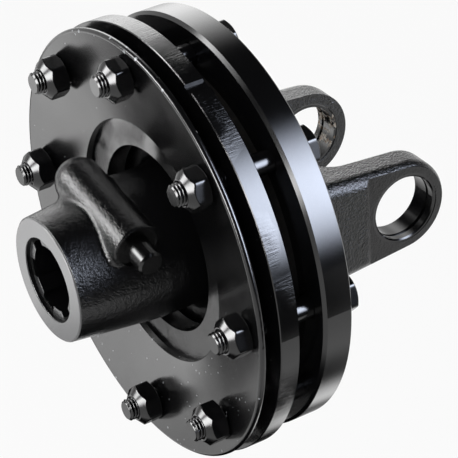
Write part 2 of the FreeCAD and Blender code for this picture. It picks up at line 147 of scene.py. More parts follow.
@dataclass(frozen=True)
class ScrapedBore:
    """Bare steel in the far ear's bore, where a pin has scraped the paint off.

    The eye sees ragged streaks of pale metal and rust brown on the outer part of the bore's wall.
    """

    metal: str = "e6e0d6"
    rust: str = "8a6c4c"
    roughness: float = 0.6
    ragged_mm: float = 4.5
    torn_range: Range = (0.5, 0.54)
    stain_mm: float = 2.0
    stain_range: Range = (0.4, 0.65)
    wall_mm: float = 1.3
    ear_side_mm: float = -20.0
    outer_end_mm: Range = (5.0, 9.0)
    level_mm: float = -1.0
    level_reach_mm: float = 8.5

    def over(self, tree: Tree, place: Socket, paint: Socket) -> Socket:
        """Lays the bare streaks over the paint.

        Formula: a ragged noise, kept where the distance from the cross bore's axis is the bore's own, the
        ear is the one on the -X side and the place is the outer end of the bore.

        Args:
            tree: the material being built.
            place: object coordinates in metres.
            paint: the painted surface.

        Returns:
            The surface with its bare streaks.
        """
        split = tree.add("ShaderNodeSeparateXYZ", Vector=place)
        flat = tree.add("ShaderNodeCombineXYZ", Y=split.outputs["Y"], Z=split.outputs["Z"])
        away = tree.add("ShaderNodeVectorMath", {"operation": "DISTANCE"}, i0=flat.outputs[0],
                        i1=BORE_CENTRE)
        wall = tree.add("ShaderNodeMath", {"operation": "COMPARE"}, i0=away.outputs["Value"],
                        i1=BORE_RADIUS, i2=self.wall_mm * MM)
        side = tree.add("ShaderNodeMath", {"operation": "LESS_THAN"}, i0=split.outputs["X"],
                        i1=self.ear_side_mm * MM)
        ragged = tree.add("ShaderNodeTexNoise", Vector=place, Scale=1 / (self.ragged_mm * MM), Detail=6.0,
                          Roughness=0.7)
        none, full = self.torn_range
        torn = tree.add("ShaderNodeMapRange", Value=ragged.outputs[0], From_Min=none, From_Max=full)
        none, full = self.outer_end_mm
        end = tree.add("ShaderNodeMapRange", Value=split.outputs["Y"], From_Min=BORE_CENTRE[1] + none * MM,
                       From_Max=BORE_CENTRE[1] + full * MM)
        level = tree.add("ShaderNodeMath", {"operation": "COMPARE"}, i0=split.outputs["Z"],
                         i1=self.level_mm * MM, i2=self.level_reach_mm * MM)
        stretch = tree.add("ShaderNodeMath", {"operation": "MULTIPLY"}, i0=level.outputs[0],
                           i1=end.outputs["Result"])
        ear = tree.add("ShaderNodeMath", {"operation": "MULTIPLY"}, i0=side.outputs[0],
                       i1=stretch.outputs[0])
        here = tree.add("ShaderNodeMath", {"operation": "MULTIPLY"}, i0=wall.outputs[0], i1=ear.outputs[0])
        share = tree.add("ShaderNodeMath", {"operation": "MULTIPLY"}, i0=here.outputs[0],
                         i1=torn.outputs["Result"])
        stain = tree.add("ShaderNodeTexNoise", Vector=place, Scale=1 / (self.stain_mm * MM), Detail=4.0)
        none, full = self.stain_range
        tone = tree.add("ShaderNodeMapRange", Value=stain.outputs[0], From_Min=none, From_Max=full)
        colour = tree.add("ShaderNodeMix", {"data_type": "RGBA"}, i0=tone.outputs["Result"],
                          i6=linear(self.metal), i7=linear(self.rust))
        bare = tree.add("ShaderNodeBsdfPrincipled", Base_Color=colour.outputs[2], Roughness=self.roughness)
        both = tree.add("ShaderNodeMixShader", i0=share.outputs[0], i1=paint, i2=bare.outputs["BSDF"])
        return both.outputs[0]


@dataclass(frozen=True)
class PaintedSlotShade:
    """Painted shade on the counterbore's floor: a dull black where the spline's slots run on, standing in
    for the shadow in the slots' mouths.
    """

    colour: str = "050505"
    roughness: float = 0.9
    film_index: float = 1.2
    floor_reach_mm: float = 0.1

    def over(self, tree: Tree, place: Socket, paint: Socket) -> Socket:
        """Lays the painted shade of the slot mouths over the paint.

        Formula: the angle about the shaft axis is wrapped to one slot's sector, and a point counts as in
        the slot where its radius times the sine of that angle is under half the slot's width.

        Args:
            tree: the material being built.
            place: object coordinates in metres.
            paint: the painted surface.

        Returns:
            The surface with the painted shade in its slot mouths.
        """
        split = tree.add("ShaderNodeSeparateXYZ", Vector=place)
        floor = tree.add("ShaderNodeMath", {"operation": "COMPARE"}, i0=split.outputs["Y"], i1=0.0,
                         i2=self.floor_reach_mm * MM)
        angle = tree.add("ShaderNodeMath", {"operation": "ARCTAN2"}, i0=split.outputs["Z"],
                         i1=split.outputs["X"])
        shifted = tree.add("ShaderNodeMath", {"operation": "SUBTRACT"}, i0=angle.outputs[0],
                           i1=math.radians(SLOT_ANGLE))
        half_sector = math.pi / SLOT_COUNT
        sector = tree.add("ShaderNodeMath", {"operation": "WRAP"}, i0=shifted.outputs[0], i1=half_sector,
                          i2=-half_sector)
        sine = tree.add("ShaderNodeMath", {"operation": "SINE"}, i0=sector.outputs[0])
        flat = tree.add("ShaderNodeCombineXYZ", X=split.outputs["X"], Z=split.outputs["Z"])
        radius = tree.add("ShaderNodeVectorMath", {"operation": "LENGTH"}, i0=flat.outputs[0])
        across = tree.add("ShaderNodeMath", {"operation": "MULTIPLY"}, i0=sine.outputs[0],
                          i1=radius.outputs["Value"])
        inside = tree.add("ShaderNodeMath", {"operation": "COMPARE"}, i0=across.outputs[0], i1=0.0,
                          i2=SLOT_WIDTH / 2)
        inner = tree.add("ShaderNodeMath", {"operation": "LESS_THAN"}, i0=radius.outputs["Value"],
                         i1=SLOT_MOUTH_RADIUS)
        here = tree.add("ShaderNodeMath", {"operation": "MULTIPLY"}, i0=floor.outputs[0],
                        i1=inside.outputs[0])
        share = tree.add("ShaderNodeMath", {"operation": "MULTIPLY"}, i0=here.outputs[0],
                         i1=inner.outputs[0])
        # A dull near-black, rough film in the slot mouths: painted shade standing in for the shadow down the
        # slots.
        matt = tree.add("ShaderNodeBsdfPrincipled", Base_Color=linear(self.colour), Roughness=self.roughness,
                        IOR=self.film_index)
        both = tree.add("ShaderNodeMixShader", i0=share.outputs[0], i1=paint, i2=matt.outputs["BSDF"])
        return both.outputs[0]


@dataclass(frozen=True)
class BlackPaint:
    """Gloss black dip paint on steel or iron.

    The eye sees clear, slightly soft reflections on a near-black body, broken up where a cast or forged
    skin lies under the film, with a few pale specks of dust. Real grit and dust measure a few tenths of
    a millimetre and wouldn't show, so both are drawn coarser.
    """

    name: str
    colour: str = "0b0b0c"
    turned_face_highlight_colour: str = "0b0b0c"
    dust_colour: str = "b9bcc0"
    roughness: float = 0.16
    smear_mm: float = 14.0
    smear_range: Range = (0.3, 0.7)
    smear_spread: Range = (0.92, 1.1)
    ripple_mm: float = 6.0
    ripple_height_mm: float = 0.012
    grain_mm: float = 0.0
    grain_height_mm: float = 0.0
    grit_mm: float = 0.9
    grit_height_mm: float = 0.16
    flat_smoothing: float = 0.65
    dust: float = 0.35
    speck_mm: float = 3.0
    speck_spread: Range = (0.3, 1.0)
    clump_mm: float = 26.0
    clump_range: Range = (0.48, 0.7)
    clump_speck: float = 0.14
    settled: float = 0.0
    edge_chips: float = 0.0
    streak_mm: float = 0.0
    streak_height_mm: float = 0.22
    streak_patch_mm: float = 18.0
    streak_range: Range = (0.42, 0.62)
    streak_drawn_out: float = 0.1
    film_index: float = 1.55
    region: Region = Region.EVERYWHERE
    # Real wear of the paint (the scraped bore) or painted shade (the slot mouths).
    wear_and_painted_shade: ScrapedBore | PaintedSlotShade | None = None

    def hub_skin(self, tree: Tree, place: Socket) -> Socket:
        """Keeps the cast skin off the turned nose face and off the ends of the spline's teeth, which take
        the lighter turned-face colour, a painted highlight.

        Formula: the skin starts past a station along the shaft, and that station lies deeper inside the
        radius of the teeth.

        Args:
            tree: the material being built.
            place: object coordinates in metres.

        Returns:
            The skin's share, from 0 to 1.
        """
        split = tree.add("ShaderNodeSeparateXYZ", Vector=place)
        level = tree.add("ShaderNodeCombineXYZ", X=split.outputs["X"], Z=split.outputs["Z"])
        radius = tree.add("ShaderNodeVectorMath", {"operation": "LENGTH"}, i0=level.outputs[0])
        inner, outer = TEETH_END_RADII
        rise = tree.add("ShaderNodeMapRange", Value=radius.outputs["Value"], From_Min=inner, From_Max=outer,
                        To_Min=TEETH_END_RISE, To_Max=0.0)
        height = tree.add("ShaderNodeMath", {"operation": "SUBTRACT"}, i0=split.outputs["Y"],
                          i1=rise.outputs["Result"])
        face, skin = NOSE_FACE_BAND
        edge = tree.add("ShaderNodeMapRange", {"interpolation_type": "SMOOTHSTEP"}, Value=height.outputs[0],
                        From_Min=face, From_Max=skin)
        return edge.outputs["Result"]

    def yoke_skin(self, tree: Tree, place: Socket) -> Socket:
        """Keeps the forged skin off the flange and the cross bore, and thins it on the ears' flats.

        Args:
            tree: the material being built.
            place: object coordinates in metres.

        Returns:
            The skin's share, from 0 to 1.
        """
        split = tree.add("ShaderNodeSeparateXYZ", Vector=place)
        across = tree.add("ShaderNodeMath", {"operation": "ABSOLUTE"}, i0=split.outputs["X"])
        flat = tree.add("ShaderNodeMath", {"operation": "COMPARE"}, i0=across.outputs[0], i1=EAR_FLAT,
                        i2=EAR_FLAT_REACH)
        smooth = tree.add("ShaderNodeMath", {"operation": "MULTIPLY"}, i0=flat.outputs[0],
                          i1=self.flat_smoothing)
        skin = tree.add("ShaderNodeMath", {"operation": "SUBTRACT"}, i0=1.0, i1=smooth.outputs[0])
        start, full = YOKE_NECK_START
        behind = tree.add("ShaderNodeMapRange", Value=split.outputs["Y"], From_Min=start, From_Max=full)
        forged = tree.add("ShaderNodeMath", {"operation": "MULTIPLY"}, i0=skin.outputs[0],
                          i1=behind.outputs["Result"])
        level = tree.add("ShaderNodeCombineXYZ", Y=split.outputs["Y"], Z=split.outputs["Z"])
        away = tree.add("ShaderNodeVectorMath", {"operation": "DISTANCE"}, i0=level.outputs[0],
                        i1=BORE_CENTRE)
        groove, clear = BORE_GROOVES
        outside = tree.add("ShaderNodeMapRange", Value=away.outputs["Value"], From_Min=BORE_RADIUS + groove,
                           From_Max=BORE_RADIUS + clear)
        share = tree.add("ShaderNodeMath", {"operation": "MULTIPLY"}, i0=forged.outputs[0],
                         i1=outside.outputs["Result"])
        return share.outputs[0]

    def skin_mask(self, tree: Tree, place: Socket) -> Socket | float:
        """Where the raw cast or forged skin shows, from 0 to 1.

        Args:
            tree: the material being built.
            place: object coordinates in metres.

        Returns:
            A socket, or 1 where the skin is the same all over.
        """
        if self.region is Region.HUB_COLLAR:
            return self.hub_skin(tree, place)
        if self.region is Region.YOKE_EARS:
            return self.yoke_skin(tree, place)
        return 1.0

    def grain(self, tree: Tree, place: Socket, mask: Socket | float, normal: Socket) -> Socket:
        """Lays the cast or forged skin over the film's ripple: coarse lumps, then fine grit.

        Args:
            tree: the material being built.
            place: object coordinates in metres.
            mask: where the skin shows.
            normal: the surface direction so far.

        Returns:
            The new surface direction.
        """
        coarse = tree.add("ShaderNodeTexNoise", Vector=place, Scale=1 / (self.grain_mm * MM), Detail=5.0,
                          Roughness=0.72)
        height = tree.add("ShaderNodeMath", {"operation": "MULTIPLY"}, i0=coarse.outputs[0], i1=mask)
        lumps = tree.add("ShaderNodeBump", Height=height.outputs[0], Distance=self.grain_height_mm * MM,
                         Strength=1.0, Normal=normal)
        fine = tree.add("ShaderNodeTexNoise", Vector=place, Scale=1 / (self.grit_mm * MM), Detail=2.0)
        pits = tree.add("ShaderNodeMath", {"operation": "MULTIPLY"}, i0=fine.outputs[0], i1=mask)
        grit = tree.add("ShaderNodeBump", Height=pits.outputs[0], Distance=self.grit_height_mm * MM,
                        Strength=1.0, Normal=lumps.outputs["Normal"])
        return grit.outputs["Normal"]

    def streaks(self, tree: Tree, place: Socket, normal: Socket) -> Socket:
        """Draws patches of short tool marks across a rim.

        Formula: a noise squeezed along the shaft axis, times a broad noise that says where it shows.

        Args:
            tree: the material being built.
            place: object coordinates in metres.
            normal: the surface direction so far.

        Returns:
            The new surface direction.
        """
        drawn = tree.add("ShaderNodeVectorMath", {"operation": "MULTIPLY"}, i0=place,
                         i1=(1.0, self.streak_drawn_out, 1.0))
        marks = tree.add("ShaderNodeTexNoise", Vector=drawn.outputs[0], Scale=1 / (self.streak_mm * MM),
                         Detail=4.0, Roughness=0.65)
        patchy = tree.add("ShaderNodeTexNoise", Vector=place, Scale=1 / (self.streak_patch_mm * MM),
                          Detail=1.0)
        none, full = self.streak_range
        torn = tree.add("ShaderNodeMapRange", Value=patchy.outputs[0], From_Min=none, From_Max=full)
        depth = tree.add("ShaderNodeMath", {"operation": "MULTIPLY"}, i0=marks.outputs[0],
                         i1=torn.outputs["Result"])
        cut = tree.add("ShaderNodeBump", Height=depth.outputs[0], Distance=self.streak_height_mm * MM,
                       Strength=1.0, Normal=normal)
        return cut.outputs["Normal"]

    def dusted(self, tree: Tree, place: Socket) -> Socket:
        """Scatters pale specks: clumps of dust, more low on the part, and chips at the upper plate edge.

        Formula: one speck a cell, as large as a clump noise, the height and the distance from the shaft
        axis allow, times a share of its own.

        Args:
            tree: the material being built.
            place: object coordinates in metres.

        Returns:
            The paint's colour with its specks.
        """
        speck = tree.add("ShaderNodeTexVoronoi", {"feature": "F1"}, Vector=place,
                         Scale=1 / (self.speck_mm * MM))
        clump = tree.add("ShaderNodeTexNoise", Vector=place, Scale=1 / (self.clump_mm * MM), Detail=2.0)
        none, full = self.clump_range
        reach = tree.add("ShaderNodeMapRange", Value=clump.outputs[0], From_Min=none, From_Max=full,
                         To_Min=0.0, To_Max=self.clump_speck)
        split = tree.add("ShaderNodeSeparateXYZ", Vector=place)
        flat = tree.add("ShaderNodeCombineXYZ", X=split.outputs["X"], Z=split.outputs["Z"])
        radius = tree.add("ShaderNodeVectorMath", {"operation": "LENGTH"}, i0=flat.outputs[0])
        inner, outer = PLATE_EDGE
        edge = tree.add("ShaderNodeMapRange", Value=radius.outputs["Value"], From_Min=inner, From_Max=outer,
                        To_Min=0.0, To_Max=self.edge_chips)
        start, full = PLATE_UPPER_PART
        upper = tree.add("ShaderNodeMapRange", Value=split.outputs["Z"], From_Min=start, From_Max=full)
        chips = tree.add("ShaderNodeMath", {"operation": "MULTIPLY"}, i0=edge.outputs["Result"],
                         i1=upper.outputs["Result"])
        start, full = PLATE_LOWER_PART
        lower = tree.add("ShaderNodeMapRange", Value=split.outputs["Z"], From_Min=start, From_Max=full,
                         To_Min=0.0, To_Max=self.settled)
        low = tree.add("ShaderNodeMath", {"operation": "ADD"}, i0=reach.outputs["Result"],
                       i1=lower.outputs["Result"])
        most = tree.add("ShaderNodeMath", {"operation": "ADD"}, i0=low.outputs[0], i1=chips.outputs[0])
        lot = tree.add("ShaderNodeSeparateColor", Color=speck.outputs["Color"])
        none, full = self.speck_spread
        spread = tree.add("ShaderNodeMapRange", Value=lot.outputs["Red"], From_Min=none, From_Max=full)
        size = tree.add("ShaderNodeMath", {"operation": "MULTIPLY"}, i0=most.outputs[0],
                        i1=spread.outputs["Result"])
        inside = tree.add("ShaderNodeMath", {"operation": "LESS_THAN"}, i0=speck.outputs["Distance"],
                          i1=size.outputs[0])
        amount = tree.add("ShaderNodeMath", {"operation": "MULTIPLY"}, i0=inside.outputs[0], i1=self.dust)
        colour = tree.add("ShaderNodeMix", {"data_type": "RGBA"}, i0=amount.outputs[0],
                          i6=linear(self.colour), i7=linear(self.dust_colour))
        return colour.outputs[2]

    def build(self) -> bpy.types.Material:
        """Makes the material.

        Returns:
            The finished material.
        """
        material = bpy.data.materials.new(self.name)
        tree = Tree(material)
        place = tree.add("ShaderNodeTexCoord").outputs["Object"]
        mask = self.skin_mask(tree, place)
        ripple = tree.add("ShaderNodeTexNoise", Vector=place, Scale=1 / (self.ripple_mm * MM), Detail=2.0)
        film = tree.add("ShaderNodeBump", Height=ripple.outputs[0], Distance=self.ripple_height_mm * MM,
                        Strength=1.0)
        normal = film.outputs["Normal"]
        if self.grain_mm > 0:
            normal = self.grain(tree, place, mask, normal)
        if self.streak_mm > 0:
            normal = self.streaks(tree, place, normal)
        # Off the skin the colour turns to the turned-face colour: on the hub a lighter grey, a painted
        # highlight of the nose face and teeth ends.
        colour = tree.add("ShaderNodeMix", {"data_type": "RGBA"}, i0=mask, i6=linear(self.turned_face_highlight_colour),
                          i7=self.dusted(tree, place))
        smear = tree.add("ShaderNodeTexNoise", Vector=place, Scale=1 / (self.smear_mm * MM), Detail=3.0)
        low, high = self.smear_range
        least, most = self.smear_spread
        rough = tree.add("ShaderNodeMapRange", Value=smear.outputs[0], From_Min=low, From_Max=high,
                         To_Min=self.roughness * least, To_Max=self.roughness * most)
        gloss = tree.add("ShaderNodeBsdfPrincipled", Base_Color=colour.outputs[2],
                         Roughness=rough.outputs["Result"], IOR=self.film_index, Normal=normal)
        surface = gloss.outputs["BSDF"]
        if self.wear_and_painted_shade is not None:
            surface = self.wear_and_painted_shade.over(tree, place, surface)
        tree.add("ShaderNodeOutputMaterial", Surface=surface)
        return material


@dataclass(frozen=True)
class FrictionLining:
    """Moulded friction lining. The eye sees dull dark resin with slightly paler brown flecks of fibre."""

    name: str = "friction_lining_moulded"
    resin: str = "121110"
    fibre: str = "2b2620"
    fleck_mm: float = 0.9
    fleck_range: Range = (0.55, 0.75)
    fleck_height_mm: float = 0.05
    roughness: float = 0.85

    def build(self) -> bpy.types.Material:
        """Makes the material.

        Returns:
            The finished material.
        """
        material = bpy.data.materials.new(self.name)
        tree = Tree(material)
        place = tree.add("ShaderNodeTexCoord").outputs["Object"]
        fleck = tree.add("ShaderNodeTexNoise", Vector=place, Scale=1 / (self.fleck_mm * MM), Detail=3.0)
        low, high = self.fleck_range
        shade = tree.add("ShaderNodeMapRange", Value=fleck.outputs[0], From_Min=low, From_Max=high)
        colour = tree.add("ShaderNodeMix", {"data_type": "RGBA"}, i0=shade.outputs["Result"],
                          i6=linear(self.resin), i7=linear(self.fibre))
        bump = tree.add("ShaderNodeBump", Height=fleck.outputs[0], Distance=self.fleck_height_mm * MM,
                        Strength=0.7)
        body = tree.add("ShaderNodeBsdfPrincipled", Base_Color=colour.outputs[2], Roughness=self.roughness,
                        Normal=bump.outputs["Normal"])
        tree.add("ShaderNodeOutputMaterial", Surface=body.outputs["BSDF"])
        return material


@dataclass(frozen=True)
class TurnedMetal:
    """Bare turned metal. The eye sees a soft shine, streaked by fine tool rings and dulled by stains.

    The rings of a real cut are about 0.1 mm apart and wouldn't show, so they are drawn coarser.
    """

    name: str
    colour: str
    roughness: float = 0.32
    stain_mm: float = 9.0
    stain_range: Range = (0.3, 0.7)
    stain_spread: Range = (0.8, 1.3)
    ring_mm: float = 0.25
    ring_height_mm: float = 0.01

    def build(self) -> bpy.types.Material:
        """Makes the material.

        Returns:
            The finished material.
        """
        material = bpy.data.materials.new(self.name)
        tree = Tree(material)
        place = tree.add("ShaderNodeTexCoord").outputs["Object"]
        split = tree.add("ShaderNodeSeparateXYZ", Vector=place)
        rings = tree.add("ShaderNodeTexNoise", {"noise_dimensions": "1D"}, W=split.outputs["Y"],
                         Scale=1 / (self.ring_mm * MM), Detail=2.0)
        stain = tree.add("ShaderNodeTexNoise", Vector=place, Scale=1 / (self.stain_mm * MM), Detail=4.0)
        low, high = self.stain_range
        least, most = self.stain_spread
        rough = tree.add("ShaderNodeMapRange", Value=stain.outputs[0], From_Min=low, From_Max=high,
                         To_Min=self.roughness * least, To_Max=self.roughness * most)
        bump = tree.add("ShaderNodeBump", Height=rings.outputs[0], Distance=self.ring_height_mm * MM,
                        Strength=0.5)
        body = tree.add("ShaderNodeBsdfPrincipled", Base_Color=linear(self.colour), Metallic=1.0,
                        Roughness=rough.outputs["Result"], Normal=bump.outputs["Normal"])
        tree.add("ShaderNodeOutputMaterial", Surface=body.outputs["BSDF"])
        return material


def grid_faces(rows: int, columns: int, closed: bool) -> np.ndarray:
    """The quads of a grid of points numbered row by row.

    Args:
        rows: number of rows.
        columns: number of columns.
        closed: whether the last column joins the first.

    Returns:
        An array of four point numbers a quad.
    """
    across = columns if closed else columns - 1
    row, column = np.meshgrid(np.arange(rows - 1), np.arange(across), indexing="ij")
    right = (column + 1) % columns
    quads = np.stack([row * columns + column, row * columns + right, (row + 1) * columns + right,
                      (row + 1) * columns + column], axis=-1)
    return quads.reshape(-1, 4)


def mesh_piece(name: str, points: np.ndarray, faces: np.ndarray, sharp_degrees: float) -> bpy.types.Object:
    """Puts arrays of points and faces into a new object at the origin.

    Args:
        name: the piece's name.
        points: an (n, 3) array in metres.
        faces: an array of quads.
        sharp_degrees: edges that turn more than this stay sharp.

    Returns:
        The linked object.
    """
    mesh = bpy.data.meshes.new(name)
    mesh.from_pydata(points.tolist(), [], faces.tolist())
    mesh.validate()
    mesh.update()
    mesh.shade_smooth()
    mesh.set_sharp_from_angle(angle=math.radians(sharp_degrees))
    piece = bpy.data.objects.new(name, mesh)
    bpy.context.scene.collection.objects.link(piece)
    return piece


def soft_min(first: np.ndarray, second: np.ndarray, width: float) -> np.ndarray:
    """The smaller of two arrays, rounded where they cross.

    Formula: the minimum, less a quarter of the squared shortfall of their difference over the width.

    Args:
        first: one array.
        second: the other array.
        width: how far from the crossing the rounding reaches.

    Returns:
        The rounded minimum.
    """
    overlap = np.maximum(width - np.abs(first - second), 0.0)
    return np.minimum(first, second) - overlap ** 2 / (4 * width)


@dataclass
class ClampFasteners:
    """The eight bolts with cut threads and their all-metal nuts, all in millimetres until meshed."""

    count: int = 8
    circle: float = 82.45
    radius: float = 5.0
    pitch: float = 1.5
    thread_depth: float = 0.86
    thread_length: float = 26.0
    thread_step: float = 0.15
    thread_runout: float = 2.5
    crest_share: float = 0.12
    flank_share: float = 0.76
    flank_power: float = 0.9
    thread_soft: float = 0.12
    tip_radius: float = 3.9
    tip_inset: float = 0.95
    tip_slope: float = 1.1
    start_turn: float = 0.7
    length: float = 59.7
    head_seat: float = 88.6
    head_height: float = 6.4
    head_rows: int = 26
    across_flats: float = 17.0
    corner_angle: float = 46.0
    corner_inset: float = 0.12
    corner_round: float = 0.35
    seat_radius: float = 8.0
    bevel: float = 0.75
    bevel_angle: float = 30.0
    head_soft: float = 0.25
    edge: float = 0.15
    nut_height: float = 9.95
    nut_rows: int = 64
    nut_bore: float = 5.05
    nut_cone: float = 2.2
    nut_top: float = 6.0
    nut_base_radius: float = 8.3
    nut_base_slope: float = 1.9
    nut_base_soft: float = 0.2
    nut_soft: float = 0.3
    around: int = 96
    sharp_degrees: float = 40.0
    made: list[str] = field(default_factory=list)

    def hexagon_radius(self, turn: np.ndarray) -> np.ndarray:
        """How far the hexagon's sides lie from its axis.

        Formula: half the width over the cosine of the angle from the nearest flat's middle, with the
        corners rounded.

        Args:
            turn: angles in radians.

        Returns:
            Radii in millimetres.
        """
        offset = np.mod(turn - math.radians(self.corner_angle), math.pi / 3) - math.pi / 6
        sides = self.across_flats / 2 / np.cos(offset)
        corner = np.full_like(sides, self.across_flats / math.sqrt(3) - self.corner_inset)
        return soft_min(sides, corner, self.corner_round)

    def turned_grid(self, radii: np.ndarray, stations: np.ndarray, turn: np.ndarray,
                    centre: tuple[float, float]) -> np.ndarray:
        """Points on rings about an axis parallel to Y.

        Formula: x is the centre plus radius times cosine, z the centre plus radius times sine.

        Args:
            radii: (rows, columns) radii in millimetres.
            stations: (rows, columns) heights along Y.
            turn: angles of the columns.
            centre: the axis's x and z.

        Returns:
            An (n, 3) array in metres.
        """
        x = centre[0] + radii * np.cos(turn)[None, :]
        z = centre[1] + radii * np.sin(turn)[None, :]
        return np.stack([x, stations, z], axis=-1).reshape(-1, 3) * MM

    def ring_points(self, rows: Rings) -> tuple[np.ndarray, np.ndarray]:
        """Stacks ring descriptions into radius and station grids.

        Args:
            rows: (radius, station) pairs, each a number or an array over the turn.

        Returns:
            The two grids.
        """
        width = self.around
        radii = np.stack([np.broadcast_to(np.asarray(r, float), (width,)) for r, _ in rows])
        stations = np.stack([np.broadcast_to(np.asarray(y, float), (width,)) for _, y in rows])
        return radii, stations

    def turns(self) -> np.ndarray:
        """Gives the angles of the columns, in radians."""
        return np.arange(self.around) * 2 * math.pi / self.around

    def thread_rings(self, tip: float, start: float) -> Rings:
        """The threaded end behind the bolt's tip.

        Formula: the radius falls from the crest by a rounded V that advances one pitch a turn, runs out
        over the last millimetres, and the end chamfer limits it.

        Args:
            tip: the station of the tip.
            start: the turn at which the thread begins, in radians.

        Returns:
            (radius, station) rings.
        """
        turn = self.turns()
        along = np.arange(tip, tip + self.thread_length, self.thread_step)
        phase = np.mod((along[:, None] - tip) / self.pitch - (turn[None, :] + start) / (2 * math.pi), 1.0)
        notch = np.clip(np.abs(phase - 0.5) * 2 - self.crest_share, 0.0, self.flank_share) / self.flank_share
        depth = self.thread_depth * (1 - notch ** self.flank_power)
        fade = np.clip((tip + self.thread_length - along) / self.thread_runout, 0, 1)[:, None]
        thread = self.radius - depth * fade
        chamfer = self.radius - self.tip_inset + (along - tip)[:, None] * self.tip_slope
        body = soft_min(thread, np.broadcast_to(chamfer, thread.shape), self.thread_soft)
        return [(body[k], along[k]) for k in range(len(along))]

    def bolt_rings(self, start: float) -> Rings:
        """The bolt's surface from its tip to the middle of its head.

        Args:
            start: the turn at which the thread begins, in radians.

        Returns:
            (radius, station) rings.
        """
        tip = self.head_seat - self.length
        rings: Rings = [(0.0, tip), (2.0, tip), (self.tip_radius, tip)]
        rings += self.thread_rings(tip, start)
        seat = self.head_seat
        shank = self.radius
        rings += [(shank, tip + self.thread_length + 0.3), (shank, seat - 2.0), (shank, seat)]
        hexagon = self.hexagon_radius(self.turns())
        rings += [(np.minimum(hexagon, self.seat_radius), seat), (hexagon - self.edge, seat),
                  (hexagon, seat + self.edge)]
        top = seat + self.head_height
        crown = self.across_flats / 2 - self.bevel
        for y in np.linspace(seat + 1.0, top, self.head_rows):
            cone = crown + (top - y) / math.tan(math.radians(self.bevel_angle))
            rings.append((soft_min(hexagon, np.full_like(hexagon, cone), self.head_soft), y))
        rings += [(crown - 0.5, top), (crown * 0.5, top), (0.0, top)]
        return rings

    def nut_rings(self, base: float) -> Rings:
        """The nut's surface from its bore's front mouth, over cone and flats, to its base and bore.

        Formula: at each station the radius is the rounded minimum of hexagon, cone and base bevel.

        Args:
            base: the station of the base.

        Returns:
            (radius, station) rings.
        """
        top = base - self.nut_height
        bore = self.nut_bore
        hexagon = self.hexagon_radius(self.turns())
        slope = (self.across_flats / 2 - self.nut_top) / self.nut_cone
        rings: Rings = [(bore, base), (bore, top + 0.5), (bore + 0.3, top + 0.1), (bore + 0.55, top),
                        (self.nut_top - self.edge, top)]
        for y in np.linspace(top + 0.05, base - 0.02, self.nut_rows):
            cone = self.nut_top + (y - top) * slope
            bevel = self.nut_base_radius + (base - y) * self.nut_base_slope
            limit = soft_min(np.full_like(hexagon, cone), np.full_like(hexagon, bevel), self.nut_base_soft)
            rings.append((soft_min(hexagon, limit, self.nut_soft), y))
        rings += [(self.seat_radius, base), (bore, base)]
        return rings

    def build(self, paint: bpy.types.Material) -> None:
        """Makes every bolt and nut and sets them over their plain solids.

        Args:
            paint: the finish.
        """
        turn = self.turns()
        for k in range(self.count):
            angle = 2 * math.pi * k / self.count
            centre = (self.circle * math.cos(angle), self.circle * math.sin(angle))
            nut_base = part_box(f"nut_{k + 1}")[1][1] / MM
            jobs = (("bolt", self.bolt_rings(self.start_turn * k)), ("nut", self.nut_rings(nut_base)))
            for kind, rings in jobs:
                radii, stations = self.ring_points(rings)
                points = self.turned_grid(radii, stations, turn, centre)
                faces = grid_faces(len(rings), self.around, closed=True)
                piece = mesh_piece(f"{kind}_{k + 1}_detailed", points, faces[:, ::-1], self.sharp_degrees)
                weld(piece)
                piece.data.materials.append(paint)
                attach(piece, "housing")
                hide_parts(f"{kind}_{k + 1}")
                self.made.append(piece.name)
        LOG.info("fasteners: %d pieces", len(self.made))


def weld(piece: bpy.types.Object) -> None:
    """Merges doubled points and turns every face outwards.

    Args:
        piece: the mesh object to clean.
    """
    work = bmesh.new()
    work.from_mesh(piece.data)
    bmesh.ops.remove_doubles(work, verts=work.verts, dist=WELD_DISTANCE)
    bmesh.ops.recalc_face_normals(work, faces=work.faces)
    work.to_mesh(piece.data)
    work.free()
    piece.data.update()


def faded(share: np.ndarray) -> np.ndarray:
    """Eases a share from 0 to 1: three times its square less twice its cube."""
    return share * share * (3.0 - 2.0 * share)


@dataclass(frozen=True)
class Card:
    """A soft-edged sheet beside the object that only reflections see: a glowing soft box or a black flag."""

    name: str
    direction: Vector3
    distance: float
    along: Vector3
    half_length: float
    half_width: float
    feather: float
    glow: float = 0.0
    tint: str = WHITE
    steps: int = 25

    def build(self) -> bpy.types.Object:
        """Makes the sheet, which faces the origin.

        Formula: points run over a rectangle square to the direction, and the sheet fades to clear towards
        its four edges by a smooth step of the distance from each.

        Returns:
            The staged sheet.
        """
        out = np.array(self.direction) / np.linalg.norm(self.direction)
        length = np.array(self.along) - np.dot(self.along, out) * out
        length /= np.linalg.norm(length)
        width = np.cross(out, length)
        share = np.linspace(-1.0, 1.0, self.steps)
        u, v = np.meshgrid(share, share, indexing="ij")
        points = (out * self.distance + u[..., None] * length * self.half_length
                  + v[..., None] * width * self.half_width)
        faces = grid_faces(self.steps, self.steps, closed=False)
        piece = mesh_piece(self.name, points.reshape(-1, 3), faces, sharp_degrees=30)
        rise = np.clip((1.0 - np.abs(np.stack([u, v]))) / self.feather, 0.0, 1.0)
        return stage_sheet(piece, np.prod(faded(rise), axis=0), self.glow, self.tint)


